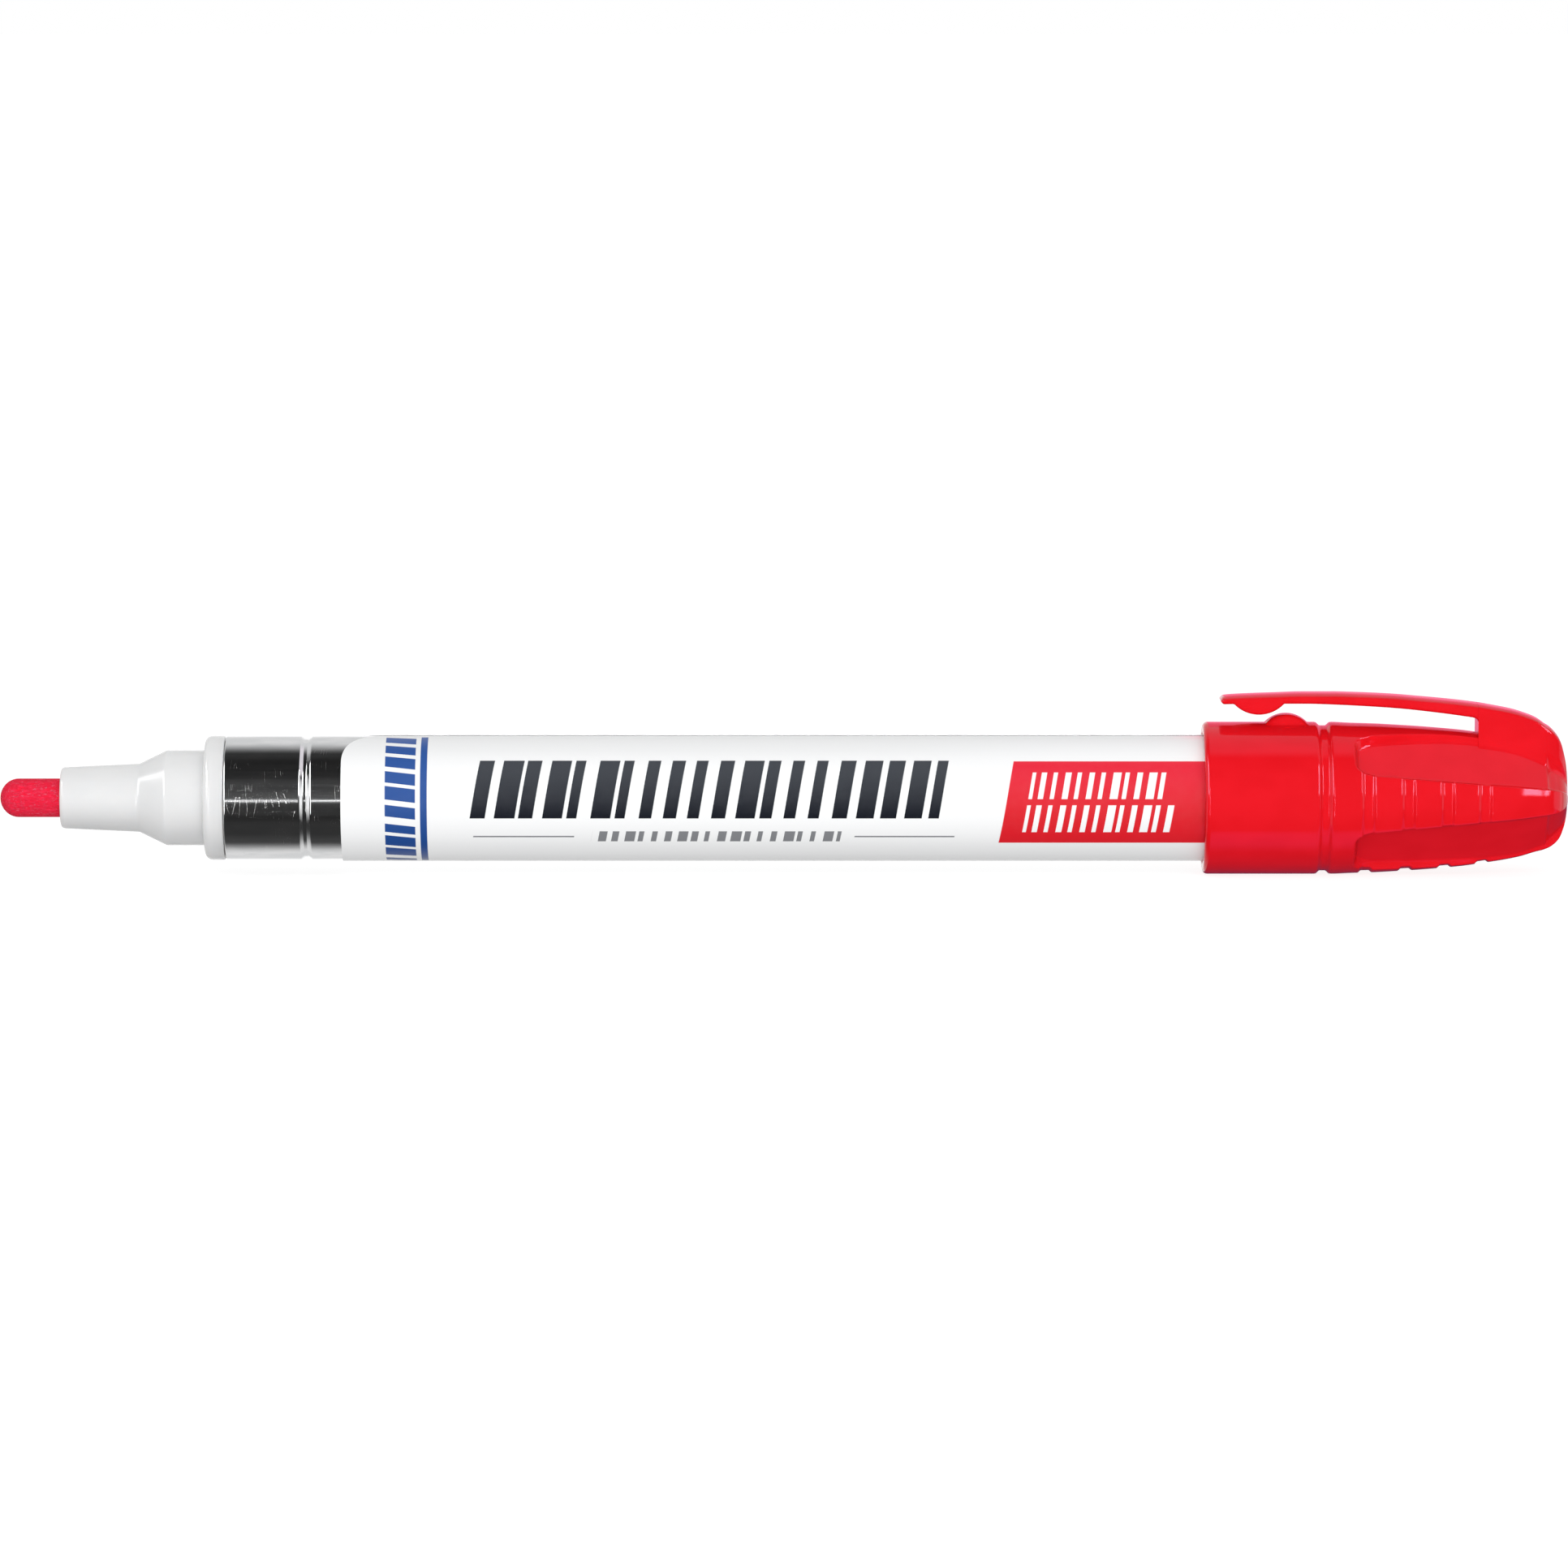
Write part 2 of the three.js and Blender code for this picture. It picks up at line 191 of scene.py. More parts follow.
def piece(name, body, nodes, material, points, faces, sharp=50):
    """A finished piece: a smooth mesh that rides on a body and stands for its CAD nodes."""
    mesh = bpy.data.meshes.new(name)
    mesh.from_pydata(place(points).tolist(), [], faces)
    clean = bmesh.new()
    clean.from_mesh(mesh)
    bmesh.ops.remove_doubles(clean, verts=clean.verts, dist=2e-7)
    bmesh.ops.recalc_face_normals(clean, faces=clean.faces)
    clean.to_mesh(mesh)
    clean.free()
    mesh.shade_smooth()
    mesh.set_sharp_from_angle(angle=math.radians(sharp))
    mesh.materials.append(material)
    thing = bpy.data.objects.new(name, mesh)
    bpy.context.scene.collection.objects.link(thing)
    if body:
        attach(thing, body)
    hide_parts(*nodes)
    return thing


def grid_faces(rows, columns, closed_rows=False):
    """Quads of a grid whose columns close on themselves."""
    faces = []
    for i in range(rows if closed_rows else rows - 1):
        a, b = i * columns, (i + 1) % rows * columns
        faces += [(a + j, a + (j + 1) % columns, b + (j + 1) % columns, b + j) for j in range(columns)]
    return faces


def around(xs, radii, angles):
    """Grid points from x, radius and the angle from +Z towards the -Y side."""
    xs, radii, angles = np.broadcast_arrays(xs, radii, angles)
    return np.stack([xs, -radii * np.sin(angles), radii * np.cos(angles)], -1).reshape(-1, 3)


def lathe(name, body, nodes, material, profile, closed=True, sides=128):
    """A turned piece. A closed profile is a ring's section; an open one starts and ends on the axis."""
    profile = np.asarray(profile, float)
    angles = np.linspace(0, 2 * math.pi, sides, endpoint=False)[None, :]
    points = around(profile[:, :1], profile[:, 1:], angles)
    return piece(name, body, nodes, material, points, grid_faces(len(profile), sides, closed))


# ---- shader building ------------------------------------------------------------------------------------


class Nodes:
    """Short calls that add nodes to a tree; each gives the new node's output."""

    def __init__(self, tree):
        self.tree = tree

    def put(self, socket, value):
        if isinstance(value, bpy.types.NodeSocket):
            self.tree.links.new(value, socket)
        else:
            socket.default_value = value

    def node(self, kind, output=0, inputs=(), **settings):
        made = self.tree.nodes.new(kind)
        for key, value in settings.items():
            setattr(made, key, value)
        for key, value in dict(inputs).items():
            self.put(made.inputs[key], value)
        return made.outputs[output]

    def math(self, operation, *values):
        return self.node("ShaderNodeMath", inputs=enumerate(values), operation=operation)

    def ramp(self, value, low, high, to_low=0.0, to_high=1.0):
        return self.node(
            "ShaderNodeMapRange",
            inputs={0: value, 1: low, 2: high, 3: to_low, 4: to_high},
            interpolation_type="SMOOTHSTEP",
        )

    def colour(self, factor, a, b):
        made = self.tree.nodes.new("ShaderNodeMix")
        made.data_type = "RGBA"
        for index, value in ((0, factor), (6, a), (7, b)):
            self.put(made.inputs[index], value)
        return made.outputs[2]

    def scaled(self, vector, factors):
        return self.node("ShaderNodeVectorMath", inputs={0: vector, 1: factors}, operation="MULTIPLY")

    def dot(self, vector, direction):
        return self.node("ShaderNodeVectorMath", 1, {0: vector, 1: direction}, operation="DOT_PRODUCT")


class Shader(Nodes):
    """A material built round a Principled BSDF, with textures in the row frame."""

    def __init__(self, name, **constants):
        self.material = bpy.data.materials.new(name)
        self.material.use_nodes = True
        super().__init__(self.material.node_tree)
        self.bsdf = self.tree.nodes["Principled BSDF"]
        for socket, value in constants.items():
            self.bsdf.inputs[socket.replace("_", " ")].default_value = value

    def position(self):
        """Object coordinates, which are the row frame's, in metres."""
        return self.node("ShaderNodeTexCoord", output=3)

    def axes(self):
        parts = self.tree.nodes.new("ShaderNodeSeparateXYZ")
        self.tree.links.new(self.position(), parts.inputs[0])
        return parts.outputs

    def along_and_round(self, radius):
        """Millimetres along the axis from the nib's tip, and up round the surface from the -Y side."""
        x, y, z = self.axes()
        along = self.math("MULTIPLY", self.math("SUBTRACT", x, TIP.x), 1 / MM)
        height = self.math("SUBTRACT", z, TIP.z)
        angle = self.math("ARCTAN2", height, self.math("MULTIPLY", y, -1.0))
        return along, self.math("MULTIPLY", angle, radius)

    def stretched(self, x, y, z):
        """Object coordinates in cycles per millimetre along each axis."""
        return self.scaled(self.position(), (x / MM, y / MM, z / MM))

    def noise(self, vector, scale=1.0, detail=3.0, roughness=0.5, distortion=0.0):
        inputs = {"Vector": vector, "Scale": scale, "Detail": detail}
        inputs |= {"Roughness": roughness, "Distortion": distortion}
        return self.node("ShaderNodeTexNoise", inputs=inputs)

    def bump(self, height, distance_mm, strength=1.0, normal=None):
        inputs = {"Strength": strength, "Distance": distance_mm * MM, "Height": height}
        if normal:
            inputs["Normal"] = normal
        return self.node("ShaderNodeBump", inputs=inputs)

    def feed(self, **sockets):
        for socket, value in sockets.items():
            self.put(self.bsdf.inputs[socket.replace("_", " ")], value)
        return self.material


# ---- materials ------------------------------------------------------------------------------------------


def polished_aluminium():
    """Drawn and polished tube: fine lengthwise streaks and a few hairline scratches."""
    s = Shader("polished_aluminium", Metallic=1.0)
    streaks = s.noise(s.stretched(0.05, 9.0, 9.0), detail=5.0, roughness=0.65)
    clouds = s.noise(s.stretched(0.25, 0.7, 0.7), detail=2.0)
    wander = s.math("ABSOLUTE", s.math("SUBTRACT", s.noise(s.stretched(1.5, 0.28, 0.28), detail=1.0), 0.5))
    marks = s.math("MULTIPLY", s.ramp(wander, 0.004, 0.001), s.ramp(clouds, 0.50, 0.62))
    polish = s.ramp(streaks, 0.3, 0.75, 0.07, 0.17)
    roughness = s.math("ADD", polish, s.math("MULTIPLY", marks, 0.2))
    tint = s.colour(s.ramp(clouds, 0.35, 0.7), (0.80, 0.81, 0.82, 1), (0.90, 0.90, 0.905, 1))
    normal = s.bump(streaks, 0.004, 0.5, s.bump(marks, 0.003, 0.5))
    return s.feed(Base_Color=tint, Roughness=roughness, Normal=normal)


def red_plastic():
    """High-gloss moulding: very slightly uneven skin and fine handling scratches."""
    s = Shader("red_plastic", IOR=1.38)
    s.bsdf.inputs["Specular Tint"].default_value = (1.0, 0.62, 0.95, 1.0)
    ripple = s.noise(s.stretched(0.25, 0.35, 0.35), detail=1.0)
    wear = s.ramp(s.noise(s.stretched(1.2, 6.0, 6.0), detail=4.0, roughness=0.7), 0.58, 0.8)
    tint = s.colour(s.ramp(ripple, 0.35, 0.65), (0.725, 0.0065, 0.012, 1), (0.755, 0.0075, 0.014, 1))
    roughness = s.ramp(wear, 0.0, 1.0, 0.09, 0.17)
    normal = s.bump(ripple, 0.03, 0.25, s.bump(wear, 0.002, 0.3))
    return s.feed(Base_Color=tint, Roughness=roughness, Normal=normal)


def milky_plastic():
    """Natural polypropylene: light scatters inside it, and its skin is satin."""
    s = Shader("milky_plastic", IOR=1.49, Subsurface_Weight=0.6, Subsurface_Scale=0.0016)
    s.bsdf.inputs["Subsurface Radius"].default_value = (1.0, 0.95, 0.9)
    cloud = s.noise(s.stretched(0.25, 0.4, 0.4), detail=2.0)
    grain = s.noise(s.stretched(7.0, 7.0, 7.0), detail=2.0)
    tint = s.colour(cloud, (0.775, 0.78, 0.785, 1), (0.83, 0.83, 0.83, 1))
    roughness = s.ramp(grain, 0.3, 0.7, 0.15, 0.22)
    return s.feed(Base_Color=tint, Roughness=roughness, Normal=s.bump(grain, 0.003, 0.2))


def red_fibre():
    """Bonded fibres soaked in red paint: short pale fibre ends over a deep red ground."""
    s = Shader("red_fibre", Roughness=0.8, IOR=1.4, Specular_IOR_Level=0.25)
    strands = s.noise(s.stretched(1.6, 6.5, 6.5), detail=5.0, roughness=0.7, distortion=0.6)
    ends = s.noise(s.stretched(2.6, 6.5, 6.5), detail=3.0, roughness=0.7, distortion=1.0)
    flecks = s.ramp(ends, 0.56, 0.66)
    depth = s.ramp(strands, 0.35, 0.65)
    ground = s.colour(depth, (0.90, 0.005, 0.034, 1), (0.95, 0.026, 0.080, 1))
    tint = s.colour(s.math("MULTIPLY", flecks, 0.8), ground, (1.0, 0.17, 0.27, 1))
    height = s.math("ADD", depth, s.math("MULTIPLY", flecks, 0.8))
    return s.feed(Base_Color=tint, Normal=s.bump(height, 0.05, 0.9))


def plain_moulding(name, low, high, roughness, grain_mm=0.008):
    """A moulded plastic, rubber or felt that is mostly out of sight: uneven tint and a fine grain."""
    s = Shader(name, Roughness=roughness)
    grain = s.noise(s.stretched(4.0, 4.0, 4.0), detail=4.0, roughness=0.6)
    return s.feed(Base_Color=s.colour(grain, low, high), Normal=s.bump(grain, grain_mm, 0.6))


def bright_steel(name):
    """Ground or drawn steel, slightly uneven."""
    s = Shader(name, Metallic=1.0)
    drawn = s.noise(s.stretched(3.0, 3.0, 3.0), detail=4.0)
    tint = s.colour(drawn, (0.50, 0.51, 0.53, 1), (0.68, 0.69, 0.71, 1))
    roughness = s.ramp(drawn, 0.3, 0.7, 0.14, 0.28)
    return s.feed(Base_Color=tint, Roughness=roughness, Normal=s.bump(drawn, 0.002, 0.5))


def between(s, value, low, high, edge=0.04):
    """1 from low to high and 0 outside, with a printed edge's softness."""
    past_low = s.ramp(value, low - edge, low + edge)
    before_high = s.ramp(value, high + edge, high - edge)
    return s.math("MULTIPLY", past_low, before_high)


def all_of(s, *masks):
    """1 only where every mask is 1."""
    result = masks[0]
    for mask in masks[1:]:
        result = s.math("MULTIPLY", result, mask)
    return result


def bars(s, along, pitch, seed, narrowest=0.3, widest=0.85):
    """A row of bars, one to each pitch, whose widths differ. Each seed gives another row."""
    place_in_row = s.math("DIVIDE", along, pitch)
    number = s.math("FLOOR", place_in_row)
    inside = s.math("FRACT", place_in_row)
    seeded = s.math("ADD", number, seed)
    chance = s.node("ShaderNodeTexWhiteNoise", inputs={"W": seeded}, noise_dimensions="1D")
    width = s.ramp(chance, 0.0, 1.0, narrowest, widest)
    edge = 0.03 / pitch
    return s.ramp(s.math("SUBTRACT", inside, width), edge, -edge)


def big_black_bars(s, slanted, round_it):
    """The widest row, in the middle of the label."""
    row = bars(s, s.math("SUBTRACT", slanted, 48.6), 2.46, 14.0, 0.42, 0.86)
    return all_of(s, row, between(s, round_it, -1.5, 4.7), between(s, slanted, 48.4, 97.7))


def grey_lines(s, slanted, round_it):
    """A row of small bars with a thin line on each side of it."""
    line = between(s, round_it, -3.69, -3.52, 0.03)
    first = all_of(s, line, between(s, slanted, 49.3, 59.6))
    second = all_of(s, line, between(s, slanted, 88.2, 98.4))
    row = bars(s, slanted, 1.35, 2.0, 0.35, 0.8)
    small = all_of(s, row, between(s, round_it, -4.25, -2.95, 0.03), between(s, slanted, 61.4, 86.8))
    return s.math("MAXIMUM", s.math("MAXIMUM", first, second), small)


def blue_column(s, along, round_it):
    """A stack of blocks going round the barrel, with a ruled line beside it."""
    rule = between(s, along, 43.3, 44.0)
    climbing = s.math("ADD", round_it, s.math("MULTIPLY", along, 0.12))
    blocks = all_of(s, bars(s, climbing, 1.75, 3.0, 0.55, 0.8), between(s, along, 39.7, 42.8))
    return all_of(s, s.math("MAXIMUM", rule, blocks), between(s, round_it, -8.6, 8.9))


def red_panel(s, slanted, round_it):
    """A slanted panel that runs under the cap, with two rows of bars left white in it."""
    panel = all_of(s, between(s, round_it, -4.45, 4.62), s.ramp(slanted, 103.0, 103.08))
    top_row = all_of(s, between(s, round_it, 0.52, 3.3), between(s, slanted, 105.2, 119.4))
    low_row = all_of(s, between(s, round_it, -3.05, -0.12), between(s, slanted, 105.2, 120.2))
    white = all_of(s, bars(s, slanted, 1.22, 9.0, 0.35, 0.72), s.math("MAXIMUM", top_row, low_row))
    return all_of(s, panel, s.math("SUBTRACT", 1.0, white))


def printed_label():
    """Glossy white label. Plain bars and panels stand where the real one has its words and mark."""
    s = Shader("printed_label", IOR=1.45)
    along, round_it = s.along_and_round(LABEL_R)
    slanted = s.math("SUBTRACT", along, s.math("MULTIPLY", round_it, LABEL_SLANT))
    # Each ink is darker towards the bottom of the barrel and lighter towards its top.
    fade = s.ramp(round_it, -2.0, 4.5)
    blue_fade = s.ramp(round_it, -6.0, 3.5)
    black_ink = s.colour(fade, (0.009, 0.011, 0.019, 1), (0.060, 0.066, 0.078, 1))
    blue_ink = s.colour(blue_fade, (0.012, 0.062, 0.26, 1), (0.030, 0.095, 0.34, 1))
    red_ink = s.colour(fade, (0.70, 0.010, 0.020, 1), (0.78, 0.020, 0.046, 1))
    ink = s.colour(big_black_bars(s, slanted, round_it), (0.88, 0.885, 0.89, 1), black_ink)
    ink = s.colour(grey_lines(s, slanted, round_it), ink, (0.22, 0.225, 0.24, 1))
    ink = s.colour(blue_column(s, along, round_it), ink, blue_ink)
    ink = s.colour(red_panel(s, slanted, round_it), ink, red_ink)
    grain = s.noise(s.stretched(1.5, 1.5, 1.5), detail=3.0)
    roughness = s.ramp(grain, 0.3, 0.7, 0.20, 0.27)
    return s.feed(Base_Color=ink, Roughness=roughness, Normal=s.bump(grain, 0.003, 0.3))


MATERIALS = {
    "barrel_aluminium": polished_aluminium(),
    "printed_label": printed_label(),
    "milky_plastic": milky_plastic(),
    "white_plastic": plain_moulding("white_plastic", (0.70, 0.70, 0.69, 1), (0.82, 0.82, 0.81, 1), 0.35),
    "red_plastic": red_plastic(),
    "red_fibre": red_fibre(),
    "pale_felt": plain_moulding("pale_felt", (0.62, 0.30, 0.30, 1), (0.82, 0.52, 0.50, 1), 0.9, 0.04),
    "seal_rubber": plain_moulding("seal_rubber", (0.010, 0.010, 0.011, 1), (0.022, 0.022, 0.024, 1), 0.6),
    "spring_steel": bright_steel("spring_steel"),
    "ball_steel": bright_steel("ball_steel"),
}

# ---- nib and nozzle -------------------------------------------------------------------------------------


def turned(name, body, slot, profile, closed=True, sides=128):
    """A turned piece that stands for the CAD node of the same name."""
    return lathe(name + "_turned", body, [name], MATERIALS[slot], profile, closed, sides)


def build_nib():
    quarter = np.linspace(0, math.pi / 2, 15)
    dome = [(NIB_DOME * (1 - math.cos(a)), NIB_R * math.sin(a)) for a in quarter]
    shank = rounded([dome[-1], (NIB_REAR - 0.4, NIB_R), (NIB_REAR, NIB_R - 0.35), (NIB_REAR, 0.0)])
    turned("fibre_nib", "nib", "red_fibre", dome[:-1] + [tuple(p) for p in shank], closed=False)


def build_nozzle():
    """From the tip back over the cone, neck and collar, then the spigot's two grooves and the bore."""
    bore = NIB_R + 0.07
    seal_groove = SPIGOT_R - 0.75
    crimp_groove = SPIGOT_R - 0.45
    profile = rounded([
        (NOZZLE_FRONT, bore + 0.1),
        (NOZZLE_FRONT, 3.13, 0.5),
        (14.3, 3.5, 0.9),
        (17.1, NECK_R, 0.5),
        (21.0, NECK_R, 0.12),
        (COLLAR_FRONT, BARREL_R, 0.8),
        (COLLAR_BACK, BARREL_R, 0.18),
        (COLLAR_BACK, SPIGOT_R, 0.05),
        (25.6, SPIGOT_R),
        (25.6, seal_groove),
        (27.0, seal_groove),
        (27.0, SPIGOT_R),
        (CRIMP_X - 1.1, SPIGOT_R),
        (CRIMP_X - 0.6, crimp_groove),
        (CRIMP_X + 0.6, crimp_groove),
        (CRIMP_X + 1.1, SPIGOT_R),
        (SPIGOT_END, SPIGOT_R),
        (SPIGOT_END, SOCKET_R),
        (SOCKET_START, SOCKET_R),
        (SOCKET_START, FEEDER_BORE),
        (15.9, FEEDER_BORE),
        (14.8, bore),
        (NOZZLE_FRONT + 0.1, bore),
    ])
    turned("nozzle", "barrel", "milky_plastic", profile, sides=160)


# ---- barrel and label -----------------------------------------------------------------------------------


def build_barrel():
    """A tube closed at its rear end, rolled inwards at the crimp."""
    inner_end = BARREL_END - BARREL_BASE
    crimp_r = BARREL_R - CRIMP_DEPTH
    profile = rounded([
        (BARREL_FRONT, BARREL_BORE),
        (BARREL_FRONT, BARREL_R, 0.12),
        (CRIMP_X - 0.55, BARREL_R, 0.2),
        (CRIMP_X - 0.16, crimp_r, 0.12),
        (CRIMP_X + 0.16, crimp_r, 0.12),
        (CRIMP_X + 0.6, BARREL_R, 0.25),
        (BARREL_END, BARREL_R, 0.8),
        (BARREL_END, 0),
        (inner_end, 0),
        (inner_end, BARREL_BORE, 0.5),
        (CRIMP_X + 0.6, BARREL_BORE),
        (CRIMP_X, BARREL_BORE - CRIMP_DEPTH),
        (CRIMP_X - 0.6, BARREL_BORE),
    ])
    turned("barrel_tube", "barrel", "barrel_aluminium", profile, sides=160)


def label_outline():
    """x and angle of the sheet's grid: stations along it, columns round it, closer at its corners."""
    corner = LABEL_CORNER
    turn = 2 * math.pi * LABEL_R - LABEL_SEAM
    first = corner * np.linspace(0, 1, 24) ** 2
    middle = np.linspace(corner, turn - corner, 150)[1:-1]
    arcs = np.concatenate([first, middle, turn - first[::-1]])
    inset = np.clip(corner - np.minimum(arcs, turn - arcs), 0, corner)
    notch = corner - np.sqrt(corner**2 - inset**2)
    share = np.concatenate([[0, 0.004], np.linspace(0.02, 0.98, 60), [0.996, 1]])[:, None]
    xs = (LABEL_START + notch) * (1 - share) + (LABEL_END - notch) * share
    return xs, (arcs + LABEL_SEAM / 2)[None, :] / LABEL_R


def build_label():
    """A thin sheet round the tube, its rounded corners meeting at a seam on the top."""
    xs, angles = label_outline()
    rows, columns = xs.shape
    count = rows * columns
    outer = around(xs, LABEL_R, angles)
    under = around(xs, LABEL_R - LABEL_THICKNESS, angles)
    faces = []
    for i in range(rows - 1):
        for j in range(columns - 1):
            a, b = i * columns + j, (i + 1) * columns + j
            faces.append((a, a + 1, b + 1, b))
            faces.append((count + b, count + b + 1, count + a + 1, count + a))
    rim = list(range(columns))
    rim += [i * columns + columns - 1 for i in range(1, rows)]
    rim += [(rows - 1) * columns + j for j in range(columns - 2, -1, -1)]
    rim += [i * columns for i in range(rows - 2, 0, -1)]
    for a, b in zip(rim, rim[1:] + rim[:1]):
        faces.append((b, a, count + a, count + b))
    points = np.concatenate([outer, under])
    slot = "printed_label"
    piece("wrap_label_sheet", "barrel", ["wrap_label"], MATERIALS[slot], points, faces)


# ---- cap ------------------------------------------------------------------------------------------------

# Radius of the skirt and lobes, distance of a scoop's floor from the axis, half-width of the top lobe, and
# the clip's top, underside and half-width, all along x.
LOBE_R = spline(
    (CAP_RIM, CAP_R), (136.4, CAP_R), (138.4, 7.72), (141, 7.64), (142.5, 7.56), (145, 7.41), (147.6, 7.21),
    (150, 6.98), (152.5, 6.62), (154.1, 6.37), (155.8, 6.03), (157.5, 5.53), (158.3, 5.33), (158.5, 5.25),
)
FLOOR = spline((138.4, 6.6), (139.2, 6.52), (146, 6.08), (152.7, 5.55), (155.2, 5.2), (158.5, 4.25))
TOP_LOBE = spline((138.4, 4.05), (139.5, 3.94), (144, 3.18), (148.5, 2.62), (151.4, 2.52), (158.5, 2.5))
CLIP_HIGH = spline(
    (125.1, 10.5), (125.9, 10.62), (128.3, 10.74), (130.8, 10.82), (133.3, 10.9), (136.7, 10.9),
    (138.3, 10.86), (140, 10.8), (141.7, 10.72), (143.3, 10.62), (145, 10.47), (148, 10.2), (151.4, 9.8),
    (153.3, 9.47), (155, 9.13), (156.6, 8.63), (157.5, 8.25), (158.3, 7.7), (158.5, 7.55),
)
CLIP_LOW = spline(
    (125.1, 9.78), (128, 9.84), (134, 9.85), (136.7, 9.77), (140, 9.61), (143.3, 9.39), (146.6, 9.04),
    (148.3, 8.83), (150, 8.59), (150.9, 8.45), (151.25, 8.3), (151.4, 8.05),
)
CLIP_HALF = spline((125.1, 2.15), (128, 2.2), (151.4, 2.5), (158.5, 2.5))

# The clip's elliptical edges, as (across, up). Each bump is (x of its middle, radius, height).
CLIP_EDGE = (1.7, 0.42)
CLIP_LOWER_EDGE = (0.4, 0.3)
CLIP_BUMP = (129.0, 3.5, 1.12)
SKIRT_BUMP = (131.85, 3.0, 0.93)

# The dome's radius as a share of its start, by depth, over the lobes and over the scoops.
DOME_DEPTH = 2.4
DOME_SHARE = spline(
    (0, 1), (0.45, 0.965), (0.9, 0.91), (1.3, 0.84), (1.6, 0.757), (1.85, 0.64), (2.1, 0.49), (2.3, 0.27),
    (DOME_DEPTH, 0),
)
DOME_SHARE_SCOOP = spline(
    (0, 1), (0.12, 0.95), (0.9, 0.80), (1.6, 0.64), (1.85, 0.56), (2.1, 0.45), (2.3, 0.25), (DOME_DEPTH, 0),
)

RING_GROOVE = 135.6
RING_GROOVE_DEPTH = 0.36
RIB_GROOVES = (139.95, 144.05, 148.05, 151.9)
RIB_GROOVE_DEPTH = 0.24
SCOOP_START = 138.8
SCOOP_START_SLOPE = 0.55
SCOOP_CORNER = 1.1
LOBE_START = 138.4
LOBE_TAPER = 0.0943
EDGE = 0.15  # half the width over which a lobe's edge turns into a scoop
ROOT_FILLET = 0.25


def arc_height(x, middle, radius, height):
    """Height of a round bump over the surface it stands on."""
    return np.maximum(np.sqrt(np.maximum(radius**2 - (x - middle) ** 2, 0)) - (radius - height), 0)


def groove(x, middle, floor_half, mouth_half):
    """1 on a groove's floor and 0 outside its mouth."""
    offset = x - middle
    return smooth(-mouth_half, -floor_half, offset) * smooth(mouth_half, floor_half, offset)


def lobe_half_width(x):
    """Half the width of the side and bottom lobes, which narrow towards the closed end."""
    return 3.13 - LOBE_TAPER * (np.maximum(x, LOBE_START) - 139.9)


def column_angles(x):
    """Angles of the columns of half the cap, from top to bottom, packed along the scoops' edges."""
    radius = LOBE_R(x)
    edge = EDGE / radius
    top = math.asin(TOP_LOBE(x) / radius)
    side = math.asin(lobe_half_width(x) / radius)
    right, bottom = math.pi / 2, math.pi
    stops = [0, top - edge, top + edge, right - side - edge, right - side + edge, right]
    stops += [right + side - edge, right + side + edge, bottom - side - edge, bottom - side + edge, bottom]
    counts = [30, 6, 22, 6, 12, 12, 6, 22, 6, 12]
    pieces = [np.linspace(a, b, n, endpoint=False) for a, b, n in zip(stops, stops[1:], counts)]
    return np.concatenate(pieces + [[math.pi]])


def root_radius(angles, high, half):
    """Where a ray from the axis leaves a rounded post of that height and half-width."""
    across, up = np.abs(np.sin(angles)), np.maximum(np.cos(angles), 1e-6)
    flat = high / up
    side = half / np.maximum(across, 1e-6)
    wide, tall = CLIP_EDGE
    centre_across, centre_up = half - wide, high - tall
    ray = (across / wide) ** 2 + (up / tall) ** 2
    along = centre_across * across / wide**2 + centre_up * up / tall**2
    off = (centre_across / wide) ** 2 + (centre_up / tall) ** 2 - 1
    corner = (along + np.sqrt(np.maximum(along**2 - ray * off, 0))) / ray
    radius = np.where(flat * across <= centre_across, flat, np.where(side * up <= centre_up, side, corner))
    return np.where(np.cos(angles) > 0.2, radius, 0)


def scoop_depth_mask(x, angles):
    """0 on a lobe, 1 on a scoop's floor. The scoops start in a rounded wall."""
    radius = LOBE_R(x)
    top = np.arcsin(TOP_LOBE(x) / radius)
    side = np.arcsin(lobe_half_width(x) / radius)
    quarter = math.pi / 2
    upper = angles < quarter
    from_above = np.where(upper, angles - top, angles - quarter - side)
    from_below = np.where(upper, quarter - side - angles, 2 * quarter - side - angles)
    inside = np.minimum(from_above, from_below) * radius
    past_start = (x - SCOOP_START) * SCOOP_START_SLOPE
    a, b = SCOOP_CORNER - inside, SCOOP_CORNER - past_start
    inside = SCOOP_CORNER - np.hypot(np.maximum(a, 0), np.maximum(b, 0)) - np.minimum(np.maximum(a, b), 0)
    return smooth(-EDGE, EDGE, inside)


def cap_outside(xs):
    """Angles, radii and scoop mask of the outside of half the cap."""
    x = xs[:, None]
    angles = np.array([column_angles(v) for v in xs])
    body = LOBE_R(x) * np.ones_like(angles)
    mask = scoop_depth_mask(x, angles)
    ribs = sum(groove(x, middle, 0.4, 0.75) for middle in RIB_GROOVES)
    body = body - RIB_GROOVE_DEPTH * ribs * (angles > math.pi / 4)
    body = body - RING_GROOVE_DEPTH * groove(x, RING_GROOVE, 0.25, 0.8)
    centre = np.where(angles < math.pi / 2, math.pi / 4, 3 * math.pi / 4)
    floor = np.minimum(FLOOR(x) / np.cos(angles - centre), body)
    body = mix(body, floor, mask)
    bump = arc_height(x, *SKIRT_BUMP) * smooth(1.8, 1.1, CAP_R * np.sin(angles))
    body = body + bump * (angles < math.pi / 2)
    post = np.where(x > CLIP_ROOT, root_radius(angles, CLIP_HIGH(x), CLIP_HALF(x)), 0)
    h = np.clip(0.5 + 0.5 * (post - body) / ROOT_FILLET, 0, 1)
    return angles, mix(body, post, h) + ROOT_FILLET * h * (1 - h), mask


